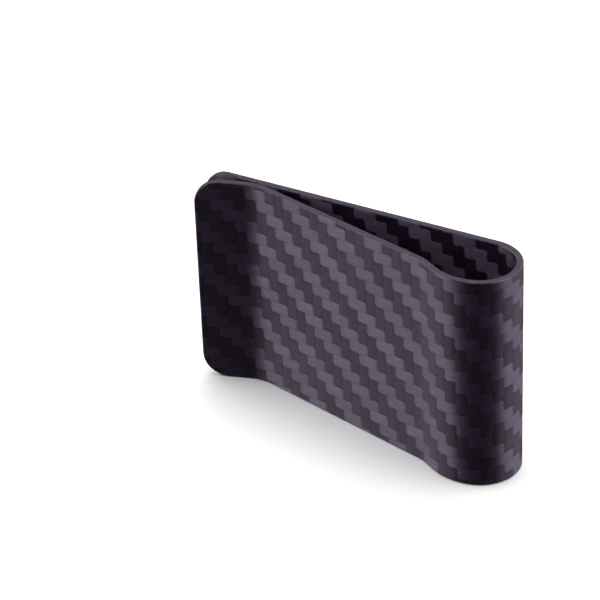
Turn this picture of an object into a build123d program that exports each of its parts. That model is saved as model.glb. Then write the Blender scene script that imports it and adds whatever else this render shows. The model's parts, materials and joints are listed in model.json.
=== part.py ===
"""Carbon-fibre money clip, in millimetres.

The clip is one hairpin strip, laid up from bonded plies: a woven twill face ply outside and inside,
with core plies between them. It stands on one long edge. +X runs along the back leaf to the bend,
+Y points out of the back leaf, and +Z is the axis that the strip is bent about. The origin is at the
middle of the base. Every ply is cut where it leaves the back leaf and where it enters the front leaf,
because the front leaf swings about the bend's axis while the bend between the two flexes.
"""

import os

from build123d import *

# The strip
strip_width = 38.7  # across the strip, so it is the height that the clip stands
ply_thickness = 0.2
core_plies = 4
corner_radius = 4.5  # the two corners at each free end

# The back leaf and the bend, on the outer face
back_leaf_length = 54.8
bend_radius = 7.0
bend_angle = 166.4

# The front leaf, along its outer face from the bend to its free end
shoulder_radius = 10.3
shoulder_turn = 43.6  # with the bend, more than a half turn, so that the front leaf closes on the back leaf
neck_length = 2.5
kink_radius = 4.0
kink_turn = 16.0  # the strip turns back here, and lies flatter
grip_length = 33.9
crease_radius = 8.5
crease_turn = 31.6  # the line that pinches the notes, where the tip starts to lead away
tip_length = 8.1

overall_length = back_leaf_length + bend_radius

ply_names = ["outer_twill", *[f"core_ply_{number + 1}" for number in range(core_plies)], "inner_twill"]


def unit(angle):
    """The direction at an angle in degrees from +X."""
    return Vector(1, 0).rotate(Axis.Z, angle)


# The shoulder is the frontmost part of the clip, and the base's middle lies halfway to the back leaf.
shoulder_centre = unit(90 - bend_angle) * (bend_radius - shoulder_radius)
front_reach = shoulder_radius - shoulder_centre.Y
bend_axis = Vector(overall_length / 2 - bend_radius, (front_reach - bend_radius) / 2)


def draw_face(start, heading, steps, depth):
    """Draw a run of steps along the strip, at a depth under its outer face, and give its two ends.

    The run goes from the back leaf to the front leaf with the outer face on its left. A step is a
    straight length, or a radius on the outer face with the angle that it turns through, left positive.
    """
    first = start - unit(heading + 90) * depth
    point = first
    for step in steps:
        if "length" in step:
            edge = PolarLine(point, step["length"], heading)
        else:
            radius = step["radius"] + (depth if step["turn"] > 0 else -depth)
            edge = JernArc(point, unit(heading), radius, step["turn"])
            heading += step["turn"]
        point = edge @ 1
    return first, point


zones = {
    "back_leaf": {
        "start": bend_axis + Vector(-back_leaf_length, bend_radius),
        "heading": 0,
        "steps": [{"length": back_leaf_length}],
        "has_free_end": True,
    },
    "bend": {
        "start": bend_axis + Vector(0, bend_radius),
        "heading": 0,
        "steps": [{"radius": bend_radius, "turn": -bend_angle}],
        "has_free_end": False,
    },
    "front_leaf": {
        "start": bend_axis + unit(90 - bend_angle) * bend_radius,
        "heading": -bend_angle,
        "steps": [
            {"radius": shoulder_radius, "turn": -shoulder_turn},
            {"length": neck_length},
            {"radius": kink_radius, "turn": kink_turn},
            {"length": grip_length},
            {"radius": crease_radius, "turn": crease_turn},
            {"length": tip_length},
        ],
        "has_free_end": True,
    },
}

os.makedirs("parts", exist_ok=True)

for zone_name, zone in zones.items():
    for index, ply_name in enumerate(ply_names):
        depth = index * ply_thickness
        with BuildPart() as ply:
            with BuildSketch(Plane.XY):
                with BuildLine():
                    outside = draw_face(zone["start"], zone["heading"], zone["steps"], depth)
                    inside = draw_face(zone["start"], zone["heading"], zone["steps"], depth + ply_thickness)
                    Line(outside[0], inside[0])
                    Line(outside[1], inside[1])
                make_face()
            extrude(amount=strip_width)
            if zone["has_free_end"]:
                free_end = ply.faces().sort_by(Axis.X)[0]
                fillet(free_end.edges().sort_by(SortBy.LENGTH)[:2], corner_radius)
        ply.part.label = f"{zone_name}_{ply_name}"
        export_step(ply.part, f"parts/{ply.part.label}.step")
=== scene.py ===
"""Looks of the carbon-fibre money clip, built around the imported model. Lengths are in metres."""

import json
import math

import bpy
import numpy as np
from mathutils import Matrix, Vector


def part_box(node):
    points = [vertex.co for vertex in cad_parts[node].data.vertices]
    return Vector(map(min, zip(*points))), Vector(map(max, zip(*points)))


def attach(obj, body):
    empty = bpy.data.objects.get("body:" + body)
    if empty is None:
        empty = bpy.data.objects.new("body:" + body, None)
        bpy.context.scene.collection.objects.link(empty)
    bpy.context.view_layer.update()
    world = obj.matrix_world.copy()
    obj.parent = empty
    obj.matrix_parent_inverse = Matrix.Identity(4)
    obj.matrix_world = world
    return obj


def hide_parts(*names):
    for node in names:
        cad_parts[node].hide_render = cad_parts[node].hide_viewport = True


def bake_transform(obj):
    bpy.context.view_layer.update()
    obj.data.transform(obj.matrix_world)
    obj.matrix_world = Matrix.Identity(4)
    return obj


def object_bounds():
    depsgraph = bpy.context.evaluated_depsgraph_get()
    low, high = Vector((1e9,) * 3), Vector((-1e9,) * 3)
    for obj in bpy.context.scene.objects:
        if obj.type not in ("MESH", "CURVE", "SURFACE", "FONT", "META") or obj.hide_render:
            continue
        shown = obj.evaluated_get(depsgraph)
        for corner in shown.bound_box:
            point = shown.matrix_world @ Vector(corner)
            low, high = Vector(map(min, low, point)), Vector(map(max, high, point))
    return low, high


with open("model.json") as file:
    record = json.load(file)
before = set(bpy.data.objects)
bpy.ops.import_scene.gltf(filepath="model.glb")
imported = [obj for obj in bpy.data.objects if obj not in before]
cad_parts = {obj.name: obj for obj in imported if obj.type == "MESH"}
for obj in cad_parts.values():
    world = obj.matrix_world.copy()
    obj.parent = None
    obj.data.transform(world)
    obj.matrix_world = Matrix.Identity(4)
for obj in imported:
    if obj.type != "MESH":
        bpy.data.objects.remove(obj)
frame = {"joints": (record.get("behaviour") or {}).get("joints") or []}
cad_low, cad_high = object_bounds()

MM = 0.001
CORE_PLIES = [f"core_ply_{number}" for number in (1, 2, 3, 4)]
PLIES = ["outer_twill", *CORE_PLIES, "inner_twill"]

# ---------------------------------------------------------------- the strip

joint = frame["joints"][0]
bend_axis = np.array(joint["pos_m"][:2])
strip_width = cad_high[2] - cad_low[2]
ply_low, ply_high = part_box("back_leaf_outer_twill")
ply_thickness = ply_high[1] - ply_low[1]
strip_thickness = ply_thickness * len(PLIES)
back_leaf_length = ply_high[0] - ply_low[0]
bend_radius = ply_high[1] - bend_axis[1]

# Each run along the outer face, from the back leaf's free end: a length, or a radius and a turn.
RUNS = [
    {"length": back_leaf_length},
    {"radius": bend_radius, "turn": -166.4},
    {"radius": 10.3 * MM, "turn": -43.6},
    {"length": 2.5 * MM},
    {"radius": 4.0 * MM, "turn": 16.0},
    {"length": 33.9 * MM},
    {"radius": 8.5 * MM, "turn": 31.6},
    {"length": 8.1 * MM},
]
KINK_RUN = 4
CORNER_RADIUS = 4.5 * MM
EDGE_RADIUS = 0.32 * MM  # the strip's long edges and ends are rounded over


def unit(angle):
    """Directions at angles in radians from +X, one row for each."""
    return np.stack([np.cos(angle), np.sin(angle)], axis=-1)


def lay_out(runs):
    """Give each run its start, heading, signed curvature and the distance that it starts at."""
    point = np.array([bend_axis[0] - back_leaf_length, bend_axis[1] + bend_radius])
    heading, distance, placed = 0.0, 0.0, []
    for run in runs:
        if "length" in run:
            length, curvature = run["length"], 0.0
            end = point + length * unit(np.array(heading))
            turn = 0.0
        else:
            turn = math.radians(run["turn"])
            length = run["radius"] * abs(turn)
            curvature = turn / length
            centre = point + unit(np.array(heading + math.pi / 2)) / curvature
            end = centre + unit(np.array(heading + turn - math.pi / 2)) / curvature
        placed.append((distance, point, heading, curvature))
        point, heading, distance = end, heading + turn, distance + length
    return placed, distance


PLACED, strip_length = lay_out(RUNS)
bend_start, front_start = PLACED[1][0], PLACED[2][0]
ZONES = {
    "back_leaf": (0.0, bend_start),
    "bend": (bend_start, front_start),
    "front_leaf": (front_start, strip_length),
}


def place(distance, height, depth):
    """Points at a distance along the strip, a height, and a depth under the outer face."""
    starts = np.array([run[0] for run in PLACED])
    which = np.clip(np.searchsorted(starts, distance, side="right") - 1, 0, len(PLACED) - 1)
    start = starts[which]
    origin = np.array([run[1] for run in PLACED])[which]
    heading = np.array([run[2] for run in PLACED])[which]
    curvature = np.array([run[3] for run in PLACED])[which]
    along = distance - start
    turned = heading + curvature * along
    straight = curvature == 0
    bent = np.where(straight, 1.0, curvature)[..., None]
    on_arc = origin + (unit(heading + math.pi / 2) - unit(turned + math.pi / 2)) / bent
    on_line = origin + along[..., None] * unit(heading)
    flat = np.where(straight[..., None], on_line, on_arc)
    flat = flat - depth[..., None] * unit(turned + math.pi / 2)
    return np.concatenate([flat, height[..., None]], axis=-1)


# ---------------------------------------------------------------- the cloth

# The cloth is laid at a slight slant. Each step to the next tow goes so far along the strip and up.
WEAVE_ALONG = np.array([2.025, 0.201]) * MM
WEAVE_ACROSS = np.array([-0.031, 2.093]) * MM
WEAVE_PHASE = np.array([0.953, 0.183])  # in tows, at the middle of the grip
GRIP_MIDDLE = 18.0 * MM  # from the kink
TOW_RELIEF = 0.035 * MM
FLOAT_CORNER = 0.26  # of a tow: how far the corners of a float are rounded


def weave_coordinates(distance, height, mirrored):
    """How many tows on, along and across, a point on the strip is."""
    kink = PLACED[KINK_RUN][0] + RUNS[KINK_RUN]["radius"] * math.radians(RUNS[KINK_RUN]["turn"]) / 2
    along = kink + GRIP_MIDDLE - distance
    if mirrored:
        along = -along
    up = height - strip_width / 2
    determinant = WEAVE_ALONG[0] * WEAVE_ACROSS[1] - WEAVE_ACROSS[0] * WEAVE_ALONG[1]
    first = (along * WEAVE_ACROSS[1] - up * WEAVE_ACROSS[0]) / determinant + WEAVE_PHASE[0]
    second = (up * WEAVE_ALONG[0] - along * WEAVE_ALONG[1]) / determinant + WEAVE_PHASE[1]
    return np.stack([first, second], axis=-1)


def soft_stair(value):
    """Rise by one at each whole number, over a short ramp that rounds the corners of the floats."""
    nearest = np.round(value)
    ramp = np.clip((value - nearest) / FLOAT_CORNER, -1, 1)
    return nearest - 0.5 + ramp * (2 - np.abs(ramp)) / 2


def tow_relief(weave):
    """How far the surface dips under the crown of the tow on top, in a two by two twill."""
    first, second = weave[..., 0], weave[..., 1]
    step = np.floor(first) + np.floor(second)
    lengthwise = np.mod(soft_stair(first) + soft_stair(second) + 0.5, 4) < 2
    part = np.where(lengthwise, np.mod(first, 1) + step, np.mod(second, 1) + step - 2)
    along = np.mod(part + 1, 4) - 1
    across = np.where(lengthwise, np.mod(second, 1), np.mod(first, 1))
    dip = 0.55 * np.abs(2 * across - 1) ** 3 + 0.75 * np.abs(along - 1) ** 4
    return TOW_RELIEF * np.minimum(dip, 1.0)


# ---------------------------------------------------------------- the meshes


def edge_inset(depth):
    """How far the rounded edge of the strip stands in from its outline, at a depth."""
    near = min(depth, strip_thickness - depth)
    if near >= EDGE_RADIUS:
        return 0.0
    return EDGE_RADIUS - math.sqrt(EDGE_RADIUS**2 - (EDGE_RADIUS - near) ** 2)


def stations(step):
    """Columns along the strip: the middle of each column's corner arc, and the arc's cosine and sine."""
    angles = np.linspace(0, math.pi / 2, 25)[:-1]
    knots = [CORNER_RADIUS, *[run[0] for run in PLACED[1:]], strip_length - CORNER_RADIUS]
    straight = [CORNER_RADIUS]
    for low, high in zip(knots, knots[1:]):
        count = max(1, round((high - low) / step))
        straight.extend(np.linspace(low, high, count + 1)[1:])
    middle = np.concatenate([
        np.full(len(angles), CORNER_RADIUS), straight, np.full(len(angles), strip_length - CORNER_RADIUS)
    ])
    nothing, everything = np.zeros(len(straight)), np.ones(len(straight))
    reach = np.concatenate([-np.cos(angles), nothing, np.cos(angles[::-1])])
    rise = np.concatenate([np.sin(angles), everything, np.sin(angles[::-1])])
    return middle, reach, rise


def spread(columns, rows, inset):
    """Distances and heights of a grid that fills the strip's outline, moved in by an inset."""
    middle, reach, rise = columns
    distance = middle + reach * (CORNER_RADIUS - inset)
    low = CORNER_RADIUS - rise * (CORNER_RADIUS - inset)
    height = low[:, None] + (strip_width - 2 * low)[:, None] * rows[None, :]
    return np.repeat(distance[:, None], len(rows), axis=1), height


def build_ply(columns, rows, rings, woven, mirrored):
    """One ply over the whole strip: its shown face as a grid, and rings down its edge to its far face.

    A ring is a depth and an inset. The result holds the points, their weave coordinates, how far
    each is round the sanded edge, and the point numbers of the grid and of each ring.
    """
    points, weave, sanded = [], [], []
    grid_shape = (len(columns[0]), len(rows))
    rim = np.zeros(grid_shape, bool)
    rim[0, :] = rim[-1, :] = rim[:, 0] = rim[:, -1] = True
    numbers = []
    count = 0
    for index, (depth, inset) in enumerate(rings):
        distance, height = spread(columns, rows, inset)
        coordinates = weave_coordinates(distance, height, mirrored)
        sunk = np.full(grid_shape, depth)
        if woven:
            fade = 1 - index / (len(rings) - 1)
            dip = tow_relief(coordinates) * fade
            sunk = sunk - dip if mirrored else sunk + dip
        here = place(distance, height, sunk)
        chosen = np.ones(grid_shape, bool) if index == 0 else rim
        number = np.full(grid_shape, -1)
        number[chosen] = count + np.arange(chosen.sum())
        count += chosen.sum()
        numbers.append(number)
        points.append(here[chosen])
        weave.append(coordinates[chosen])
        sanded.append(np.full(chosen.sum(), index / (len(rings) - 1)))
    return np.concatenate(points), np.concatenate(weave), np.concatenate(sanded), numbers


def rim_paths(first, last, grid_shape):
    """Paths of grid places round the rim of the columns from first to last, leaving out the cuts."""
    end_column, top_row = grid_shape[0] - 1, grid_shape[1] - 1
    bottom = [(column, 0) for column in range(first, last + 1)]
    top = [(column, top_row) for column in range(first, last + 1)]
    if first == 0 and last == end_column:
        raise ValueError("a zone has at least one cut")
    if first == 0:
        end = [(0, row) for row in range(1, top_row)]
        return [bottom[::-1] + end + top]
    if last == end_column:
        end = [(end_column, row) for row in range(1, top_row)]
        return [top + end[::-1] + bottom[::-1]]
    return [bottom[::-1], top]


def zone_faces(numbers, first, last):
    """Faces of one zone of a ply: the shown grid, the rim, the far face and the cuts."""
    grid = numbers[0]
    shape = grid.shape
    block = grid[first : last + 1]
    quads = np.stack([block[:-1, :-1], block[:-1, 1:], block[1:, 1:], block[1:, :-1]], axis=-1)
    smooth = quads.reshape(-1, 4).tolist()
    for path in rim_paths(first, last, shape):
        for upper, lower in zip(numbers, numbers[1:]):
            for here, there in zip(path, path[1:]):
                smooth.append([upper[here], lower[here], lower[there], upper[there]])
    flat = []
    far = numbers[-1]
    top_row = shape[1] - 1
    for column in range(first, last):
        face = [far[column, 0], far[column + 1, 0], far[column + 1, top_row], far[column, top_row]]
        if column == 0:
            face = [far[1, 0], far[1, top_row], *far[0, ::-1]]
        elif column + 1 == shape[0] - 1:
            face = [*far[column + 1, :], far[column, top_row], far[column, 0]]
        flat.append(face)
    for column, is_start in ((first, True), (last, False)):
        if column in (0, shape[0] - 1):
            continue
        face = list(grid[column, :])
        face += [ring[column, top_row] for ring in numbers[1:]]
        face += [ring[column, 0] for ring in numbers[:0:-1]]
        flat.append(face[::-1] if is_start else face)
    return smooth, flat


def vertex_normals(points, faces):
    """Area-weighted normals of the points, over quads."""
    quads = np.array(faces)
    across = points[quads[:, 2]] - points[quads[:, 0]]
    other = points[quads[:, 3]] - points[quads[:, 1]]
    face_normals = np.cross(across, other)
    normals = np.zeros_like(points)
    for corner in range(4):
        np.add.at(normals, quads[:, corner], face_normals)
    return normals / np.maximum(np.linalg.norm(normals, axis=1, keepdims=True), 1e-20)


def whole_rim(numbers):
    """Every smooth face of a ply over the whole strip, used for normals that cross the cuts."""
    last = numbers[0].shape[0] - 1
    middle = last // 2
    return zone_faces(numbers, 0, middle)[0] + zone_faces(numbers, middle, last)[0]


def add_piece(name, points, weave, sanded, normals, smooth, flat, turned):
    """Make one mesh piece from some of a ply's points, with smooth normals only where asked."""
    faces = smooth + flat
    if turned:
        faces = [face[::-1] for face in faces]
        normals = -normals
    used = np.unique(np.concatenate([np.array(face) for face in faces]))
    renumber = np.full(len(points), -1)
    renumber[used] = np.arange(len(used))
    mesh = bpy.data.meshes.new(name)
    mesh.from_pydata(points[used].tolist(), [], [renumber[face].tolist() for face in faces])
    corner_points = np.concatenate([np.array(face) for face in faces])
    layer = mesh.uv_layers.new(name="weave")
    layer.data.foreach_set("uv", weave[corner_points].astype(np.float32).ravel())
    mesh.attributes.new("sanded", "FLOAT", "POINT").data.foreach_set("value", sanded[used])
    mesh.polygons.foreach_set("use_smooth", [True] * len(faces))
    corner_normals = normals[corner_points]
    mesh.update()
    start = sum(len(face) for face in smooth)
    for polygon in mesh.polygons[len(smooth) :]:
        corner_normals[start : start + len(polygon.vertices)] = polygon.normal
        start += len(polygon.vertices)
    mesh.normals_split_custom_set(corner_normals.tolist())
    piece = bpy.data.objects.new(name, mesh)
    bpy.context.scene.collection.objects.link(piece)
    return piece


# ---------------------------------------------------------------- materials


def node_maker(owner):
    """A short way to add a node to a material or a world, set its inputs and join what feeds them."""
    tree = owner.node_tree

    def add(kind, operation=None, inputs=None, **settings):
        node = tree.nodes.new(kind)
        if operation:
            node.operation = operation
        for name, value in settings.items():
            setattr(node, name, value)
        for key, value in (inputs or {}).items():
            if isinstance(value, bpy.types.NodeSocket):
                tree.links.new(value, node.inputs[key])
            else:
                node.inputs[key].default_value = value
        return node

    return add


# The twill's look. Where two values are given, they are for crosswise and lengthwise tows.
FIBRES_ACROSS = 24.0  # noise cells in a tow's width, across the fibres
FIBRES_ALONG = 0.9  # and along them
# These darken a tow's sides and the ends of its floats: partly resin, partly painted shade where the
# crown dips.
SIDE_RESIN_AND_PAINTED_SHADE, TAIL_RESIN_AND_PAINTED_SHADE = 0.4, 0.7  # how much resin shows at a tow's sides, and at the ends of its floats
TINTS = (0.855, 0.770, 0.985, 1), (0.885, 0.765, 0.995, 1)  # a float's tint lies between these
BASE = (0.0100, 0.0030, 0.0120)  # fibre is nearly black, and what it scatters is violet
# The two base colour strengths differ as painted light: crosswise tows are painted darker and lengthwise
# tows lighter, standing in for how the two catch the light.
BODY_WITH_PAINTED_LIGHT = 0.85, 1.55  # how strong the base colour is
GLINT = 0.60, 0.89  # how strong the highlight is
DRAWN_OUT = 0.3, 0.9  # how far the highlight is drawn out across the fibres
FIBRE_TURN = 0.0, 0.25  # the way that the fibres lie, in turns from the weave's tangent
FIBRE_RELIEF = 0.02 * MM
FIBRE_IOR = 2.4
COAT_IOR = 1.4


def twill_material():
    """2x2 twill of carbon tows under a satin clear coat, from the weave coordinates."""
    material = bpy.data.materials.new("twill_cloth")
    material.use_nodes = True
    material.node_tree.nodes.clear()
    add = node_maker(material)

    def math_node(operation, first, second=0.0, third=0.0):
        return add("ShaderNodeMath", operation, {0: first, 1: second, 2: third}).outputs[0]

    def scaled(value, scale, offset):
        return math_node("MULTIPLY_ADD", value, scale, offset)

    def choose(switch, when_no, when_yes):
        mixer = add("ShaderNodeMix", inputs={0: switch, 2: when_no, 3: when_yes}, data_type="FLOAT")
        return mixer.outputs[0]

    def soft_stair_node(value):
        nearest = math_node("ROUND", value)
        ramp = add("ShaderNodeMapRange", inputs={
            "Value": math_node("SUBTRACT", value, nearest), "From Min": -FLOAT_CORNER,
            "From Max": FLOAT_CORNER, "To Min": -1.0, "To Max": 1.0}).outputs[0]
        eased = scaled(math_node("ABSOLUTE", ramp), -0.5, 1.0)
        return scaled(ramp, eased, math_node("SUBTRACT", nearest, 0.5))

    # Which tow is on top, and where the point lies on its float. This repeats tow_relief.
    weave = add("ShaderNodeUVMap", uv_map="weave").outputs[0]
    split = add("ShaderNodeSeparateXYZ", inputs={0: weave}).outputs
    column, row = math_node("FLOOR", split[0]), math_node("FLOOR", split[1])
    diagonal = math_node("ADD", column, row)
    stairs = math_node("ADD", soft_stair_node(split[0]), soft_stair_node(split[1]))
    step = math_node("FLOORED_MODULO", math_node("ADD", stairs, 0.5), 4.0)
    lengthwise = math_node("LESS_THAN", step, 2.0)
    in_column, in_row = math_node("FRACT", split[0]), math_node("FRACT", split[1])
    along_first = math_node("ADD", in_column, diagonal)
    along_second = math_node("SUBTRACT", math_node("ADD", in_row, diagonal), 2.0)
    along = choose(lengthwise, along_second, along_first)
    along = math_node("SUBTRACT", math_node("FLOORED_MODULO", math_node("ADD", along, 1.0), 4.0), 1.0)
    across = choose(lengthwise, in_column, in_row)

    # One random value for each float. The offset keeps rows and columns of one number apart.
    tow = choose(lengthwise, column, math_node("ADD", row, 0.37))
    float_number = math_node("FLOOR", math_node("DIVIDE", diagonal, 4.0))
    float_place = add("ShaderNodeCombineXYZ", inputs={0: tow, 1: float_number, 2: lengthwise}).outputs[0]
    float_noise = add("ShaderNodeTexWhiteNoise", inputs={"Vector": float_place}, noise_dimensions="3D")
    random = float_noise.outputs["Value"]

    # Fibres: noise drawn out along the tow.
    fibre_first = add("ShaderNodeCombineXYZ", inputs={
        0: math_node("MULTIPLY", split[0], FIBRES_ALONG),
        1: math_node("MULTIPLY", split[1], FIBRES_ACROSS),
        2: random})
    fibre_second = add("ShaderNodeCombineXYZ", inputs={
        0: math_node("MULTIPLY", split[0], FIBRES_ACROSS),
        1: math_node("MULTIPLY", split[1], FIBRES_ALONG),
        2: random})
    fibre_vector = add("ShaderNodeMix", inputs={
        0: lengthwise, 4: fibre_second.outputs[0], 5: fibre_first.outputs[0]}, data_type="VECTOR")
    fibres = add("ShaderNodeTexNoise", inputs={
        "Vector": fibre_vector.outputs[1], "Scale": 1.0, "Detail": 3.0, "Roughness": 0.6}).outputs[0]

    # The tow's edges and the ends of its float are darker: partly resin between the tows, partly painted
    # shade where the tow's crown dips.
    from_middle = math_node("ABSOLUTE", scaled(across, 2.0, -1.0))
    from_crown = math_node("ABSOLUTE", math_node("SUBTRACT", along, 1.0))
    side = math_node("POWER", from_middle, 6.0)
    tail = math_node("POWER", from_crown, 8.0)
    resin_and_painted_shade = math_node("ADD", math_node("MULTIPLY", side, SIDE_RESIN_AND_PAINTED_SHADE), math_node("MULTIPLY", tail, TAIL_RESIN_AND_PAINTED_SHADE))
    resin_and_painted_shade = math_node("MINIMUM", resin_and_painted_shade, 1.0)

    # Colour: fibres and floats vary in depth at random, the tow's sides and float ends are darker from
    # resin and painted shade, the two tow directions carry painted light in their base colour, and the
    # highlight is duller on the sanded edge.
    shade = scaled(fibres, 0.9, 0.55)
    shade = math_node("MULTIPLY", shade, scaled(random, 0.2, 0.9))
    # Painted shade, with resin: the colour is darker at the tow's sides and float ends.
    shade = math_node("MULTIPLY", shade, scaled(resin_and_painted_shade, -0.45, 1.0))
    tint = add("ShaderNodeValToRGB", inputs={0: random})
    for element, tone in zip(tint.color_ramp.elements, TINTS):
        element.color = tone
    dark = add("ShaderNodeVectorMath", "MULTIPLY", {0: tint.outputs[0], 1: BASE}).outputs[0]
    # Painted light: lengthwise tows get a lighter base colour and crosswise tows a darker one.
    body = math_node("MULTIPLY", shade, choose(lengthwise, *BODY_WITH_PAINTED_LIGHT))
    colour = add("ShaderNodeVectorMath", "SCALE", {0: dark, "Scale": body}).outputs[0]
    sanded = add("ShaderNodeAttribute", attribute_name="sanded").outputs["Fac"]
    shine = math_node("MULTIPLY", shade, scaled(sanded, -0.85, 1.2))
    shine = math_node("MULTIPLY", shine, choose(lengthwise, *GLINT))
    glint = add("ShaderNodeVectorMath", "SCALE", {0: tint.outputs[0], "Scale": shine}).outputs[0]

    roughness = scaled(fibres, 0.12, 0.335)
    roughness = scaled(resin_and_painted_shade, 0.12, roughness)
    roughness = scaled(sanded, 0.15, roughness)
    tangent = add("ShaderNodeTangent", direction_type="UV_MAP", uv_map="weave").outputs[0]
    bump = add("ShaderNodeBump", inputs={
        "Strength": 0.25, "Distance": FIBRE_RELIEF, "Height": fibres}).outputs[0]

    # The clear coat is a little uneven, from handling.
    handled = add("ShaderNodeTexNoise", inputs={
        "Vector": weave, "Scale": 0.7, "Detail": 5.0, "Roughness": 0.7}).outputs[0]
    coat_roughness = scaled(handled, 0.30, 0.12)

    surface = add("ShaderNodeBsdfPrincipled", inputs={
        "Base Color": colour, "Roughness": roughness, "IOR": FIBRE_IOR, "Specular Tint": glint,
        "Anisotropic": choose(lengthwise, *DRAWN_OUT),
        "Anisotropic Rotation": choose(lengthwise, *FIBRE_TURN),
        "Tangent": tangent, "Normal": bump, "Coat Weight": 0.3, "Coat Roughness": coat_roughness,
        "Coat IOR": COAT_IOR, "Coat Tint": (0.95, 0.83, 1.0, 1)})
    add("ShaderNodeOutputMaterial", inputs={0: surface.outputs[0]})
    return material


def edge_material(index):
    """The sanded and sealed edge of one core ply. Fibres lie along the strip in every other ply."""
    material = bpy.data.materials.new(f"core_ply_edge_{index + 1}")
    material.use_nodes = True
    material.node_tree.nodes.clear()
    add = node_maker(material)
    weave = add("ShaderNodeUVMap", uv_map="weave").outputs[0]
    lies_along = index % 2 == 0
    stretch = (1.5, 30.0, 1.0) if lies_along else (18.0, 18.0, 1.0)
    base = 0.012 if lies_along else 0.008
    least_shine = 0.14 if lies_along else 0.06
    mapping = add("ShaderNodeMapping", inputs={"Vector": weave, "Scale": stretch}).outputs[0]
    streaks = add("ShaderNodeTexNoise", inputs={
        "Vector": mapping, "Scale": 1.0, "Detail": 4.0, "Roughness": 0.65}).outputs[0]
    ramp = add("ShaderNodeValToRGB", inputs={0: streaks})
    ramp.color_ramp.elements[0].position = 0.3
    ramp.color_ramp.elements[1].position = 0.75
    ramp.color_ramp.elements[0].color = (base * 0.75, base * 0.3, base * 1.0, 1)
    ramp.color_ramp.elements[1].color = (base * 1.8, base * 1.1, base * 2.2, 1)
    roughness = add("ShaderNodeMath", "MULTIPLY_ADD", {0: streaks, 1: 0.25, 2: 0.40}).outputs[0]
    bump = add("ShaderNodeBump", inputs={
        "Strength": 0.3, "Distance": FIBRE_RELIEF, "Height": streaks}).outputs[0]
    shine = add("ShaderNodeMath", "MULTIPLY_ADD", {0: streaks, 1: 0.5, 2: least_shine}).outputs[0]
    surface = add("ShaderNodeBsdfPrincipled", inputs={
        "Base Color": ramp.outputs[0], "Roughness": roughness, "Normal": bump,
        "Specular IOR Level": shine, "Specular Tint": (0.86, 0.78, 0.95, 1)})
    add("ShaderNodeOutputMaterial", inputs={0: surface.outputs[0]})
    return material


# ---------------------------------------------------------------- the pieces

FINE_STEP = 0.2 * MM
COARSE_STEP = 0.6 * MM
PLY_GROOVE = 0.012 * MM  # a fine line between plies, where the edge was sanded

twill = twill_material()


def ply_rings(index):
    """Depths and insets down a ply's edge, from its shown face to its far face."""
    top, bottom = index * ply_thickness, (index + 1) * ply_thickness
    depths = np.linspace(top, bottom, 7)
    rings = [(depth, edge_inset(depth)) for depth in depths]
    if 0 < index < len(PLIES) - 1:
        rings[0] = (top, edge_inset(top) + PLY_GROOVE)
        rings[-1] = (bottom, edge_inset(bottom) + PLY_GROOVE)
        rings.insert(1, (top + PLY_GROOVE, edge_inset(top + PLY_GROOVE)))
        rings.insert(-1, (bottom - PLY_GROOVE, edge_inset(bottom - PLY_GROOVE)))
    return rings


def crowned_rings(index):
    """The same for a face ply, closer together where the edge turns over."""
    depths = [ply_thickness * share for share in (0, 0.02, 0.08, 0.18, 0.32, 0.5, 0.72, 1)]
    rings = [(depth, edge_inset(depth)) for depth in depths]
    if index:
        rings = [(strip_thickness - depth, inset) for depth, inset in rings]
    return rings


for index, ply in enumerate(PLIES):
    woven = ply.endswith("twill")
    turned = ply == "inner_twill"
    columns = stations(FINE_STEP if woven else COARSE_STEP)
    row_count = round(strip_width / FINE_STEP) if woven else 1
    rows = np.linspace(0, 1, row_count + 1)
    rings = crowned_rings(index) if woven else ply_rings(index)
    points, weave, sanded, numbers = build_ply(columns, rows, rings, woven, turned)
    normals = vertex_normals(points, whole_rim(numbers))
    material = twill if woven else edge_material(index - 1)
    for zone, (zone_start, zone_end) in ZONES.items():
        distances = columns[0] + columns[1] * CORNER_RADIUS
        first = int(np.argmin(np.abs(distances - zone_start)))
        last = int(np.argmin(np.abs(distances - zone_end)))
        smooth, flat = zone_faces(numbers, first, last)
        node = f"{zone}_{ply}"
        piece = add_piece(f"{node}_look", points, weave, sanded, normals, smooth, flat, turned)
        piece.data.materials.append(material)
        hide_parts(node)
        if zone == "bend":
            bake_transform(piece)
        else:
            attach(piece, zone)

# ---------------------------------------------------------------- floor, lights and camera

FLOOR_REACH = 3.0
FLOOR_DROP = 0.02 * MM
FADE_FROM, FADE_TO = 0.15, 0.90  # metres from the clip, over which the floor fades to plain white

STUDIO_LIGHT = 1.82
DARK_HEADING = -64.0  # degrees from +X
DARK_HALF_WIDTH = 57.0
DARK_FADE = 14.0
DARK_BEHIND = 0.65  # how far the studio darkens on the opposite side as well, near the horizon

SOFTBOX_PLACE = (0.0, 0.10, 0.80)
SOFTBOX_SIZE = 0.7
SOFTBOX_POWER = 4.0

VIEW_AZIMUTH = math.radians(31.0)
VIEW_DOWN = math.radians(31.84)
VIEW_ROLL = math.radians(2.24)
VIEW_DISTANCE = 0.4839
VIEW_TARGET = Vector((bend_axis[0] - 32.12 * MM, bend_axis[1] - 2.13 * MM, 23.50 * MM))
VIEW_LENS = 175.8  # in mm, for a sensor 36 mm wide


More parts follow.
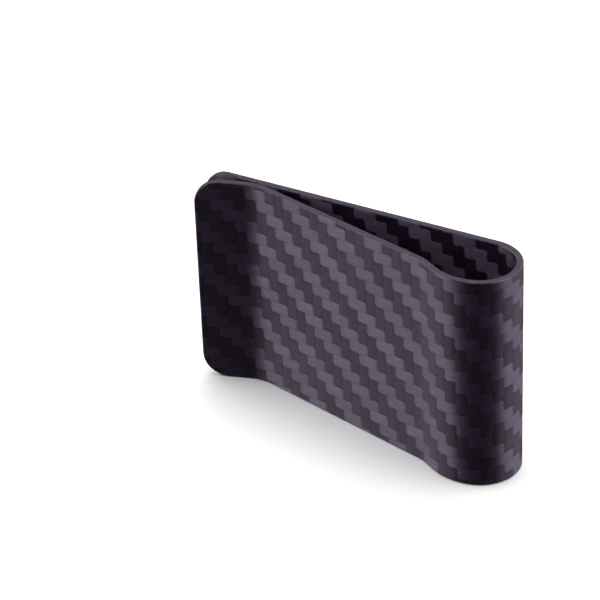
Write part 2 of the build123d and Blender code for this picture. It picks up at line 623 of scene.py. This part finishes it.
def add_floor():
    """A plain pale floor under the clip."""
    mesh = bpy.data.meshes.new("floor")
    corners = [(-1, -1), (1, -1), (1, 1), (-1, 1)]
    mesh.from_pydata([(x * FLOOR_REACH, y * FLOOR_REACH, 0) for x, y in corners], [], [(0, 1, 2, 3)])
    floor = bpy.data.objects.new("floor", mesh)
    floor.location.z = cad_low[2] - FLOOR_DROP
    bpy.context.scene.collection.objects.link(floor)
    material = bpy.data.materials.new("floor_paper")
    material.use_nodes = True
    material.node_tree.nodes.clear()
    add = node_maker(material)
    grain = add("ShaderNodeTexNoise", inputs={"Scale": 60.0, "Detail": 2.0}).outputs[0]
    ramp = add("ShaderNodeValToRGB", inputs={0: grain})
    ramp.color_ramp.elements[0].color = (0.92, 0.92, 0.92, 1)
    ramp.color_ramp.elements[1].color = (0.95, 0.95, 0.95, 1)
    paper = add("ShaderNodeBsdfPrincipled", inputs={
        "Base Color": ramp.outputs[0], "Roughness": 0.9, "Specular IOR Level": 0.1})
    place_on_floor = add("ShaderNodeTexCoord").outputs["Object"]
    far = add("ShaderNodeVectorMath", "LENGTH", {0: place_on_floor}).outputs["Value"]
    faded = add("ShaderNodeMapRange", inputs={"Value": far, "From Min": FADE_FROM, "From Max": FADE_TO},
                interpolation_type="SMOOTHSTEP").outputs[0]
    white = add("ShaderNodeEmission")
    surface = add("ShaderNodeMixShader", inputs={0: faded, 1: paper.outputs[0], 2: white.outputs[0]})
    add("ShaderNodeOutputMaterial", inputs={0: surface.outputs[0]})
    mesh.materials.append(material)
    floor.visible_glossy = False  # the dark, satin clip would mirror the pale floor and look grey
    floor.visible_shadow = False  # light from below the horizon reaches the clip


def add_softbox():
    """A soft square studio light above the clip, turned to face it."""
    data = bpy.data.lights.new("top_softbox", "AREA")
    data.shape = "SQUARE"
    data.size = SOFTBOX_SIZE
    data.energy = SOFTBOX_POWER
    lamp = bpy.data.objects.new("top_softbox", data)
    bpy.context.scene.collection.objects.link(lamp)
    lamp.location = SOFTBOX_PLACE
    towards = Vector((0, 0, strip_width / 2)) - lamp.location
    lamp.rotation_euler = towards.to_track_quat("-Z", "Y").to_euler()


def add_world():
    """Soft light from all round, but for a dark stretch on the side that the clip's face looks to."""
    world = bpy.data.worlds.new("studio")
    world.use_nodes = True
    add = node_maker(world)
    background = world.node_tree.nodes["Background"]
    heading = math.radians(DARK_HEADING)
    towards = add("ShaderNodeTexCoord").outputs["Generated"]
    height = add("ShaderNodeSeparateXYZ", inputs={0: towards}).outputs[2]
    level = add("ShaderNodeVectorMath", "MULTIPLY", {0: towards, 1: (1, 1, 0)}).outputs[0]
    level = add("ShaderNodeVectorMath", "NORMALIZE", {0: level}).outputs[0]
    faced = add("ShaderNodeVectorMath", "DOT_PRODUCT", {
        0: level, 1: (math.cos(heading), math.sin(heading), 0)}).outputs["Value"]
    low = add("ShaderNodeMapRange", inputs={
        "Value": height, "From Min": 0.15, "From Max": 0.45, "To Min": -DARK_BEHIND, "To Max": 0.0},
        interpolation_type="SMOOTHSTEP").outputs[0]
    behind = add("ShaderNodeMath", "MULTIPLY", {0: faced, 1: low}).outputs[0]
    faced = add("ShaderNodeMath", "MAXIMUM", {0: faced, 1: behind}).outputs[0]
    around = add("ShaderNodeMapRange", inputs={
        "Value": faced, "From Min": math.cos(math.radians(DARK_HALF_WIDTH - DARK_FADE)),
        "From Max": math.cos(math.radians(DARK_HALF_WIDTH + DARK_FADE)),
        "To Min": 0.0, "To Max": STUDIO_LIGHT},
        interpolation_type="SMOOTHSTEP").outputs[0]
    above = add("ShaderNodeMapRange", inputs={
        "Value": height, "From Min": -0.30, "From Max": 0.30, "To Min": 0.25, "To Max": 1.0},
        interpolation_type="SMOOTHSTEP").outputs[0]
    studio = add("ShaderNodeMath", "MULTIPLY", {0: around, 1: above}).outputs[0]
    seen = add("ShaderNodeLightPath").outputs["Is Camera Ray"]  # the backdrop itself is plain white
    strength = add("ShaderNodeMix", inputs={0: seen, 2: studio, 3: 1.0}, data_type="FLOAT").outputs[0]
    world.node_tree.links.new(strength, background.inputs["Strength"])
    background.inputs["Color"].default_value = (1, 1, 1, 1)
    bpy.context.scene.world = world


def add_camera():
    """The camera, with a long lens, looking down a little and rolled slightly."""
    data = bpy.data.cameras.new("camera")
    data.lens = VIEW_LENS
    data.clip_start = 0.01
    camera = bpy.data.objects.new("camera", data)
    bpy.context.scene.collection.objects.link(camera)
    level = Vector((math.cos(VIEW_AZIMUTH), math.sin(VIEW_AZIMUTH), 0))
    forward = Vector((-math.sin(VIEW_AZIMUTH), math.cos(VIEW_AZIMUTH), 0)) * math.cos(VIEW_DOWN)
    forward.z = -math.sin(VIEW_DOWN)
    upright = level.cross(forward)
    right = level * math.cos(VIEW_ROLL) - upright * math.sin(VIEW_ROLL)
    up = right.cross(forward)
    turn = Matrix((right, up, -forward)).transposed()
    camera.matrix_world = Matrix.LocRotScale(VIEW_TARGET - forward * VIEW_DISTANCE, turn, None)
    bpy.context.scene.camera = camera


add_floor()
add_world()
add_softbox()
add_camera()
bpy.context.scene.view_settings.view_transform = "Standard"
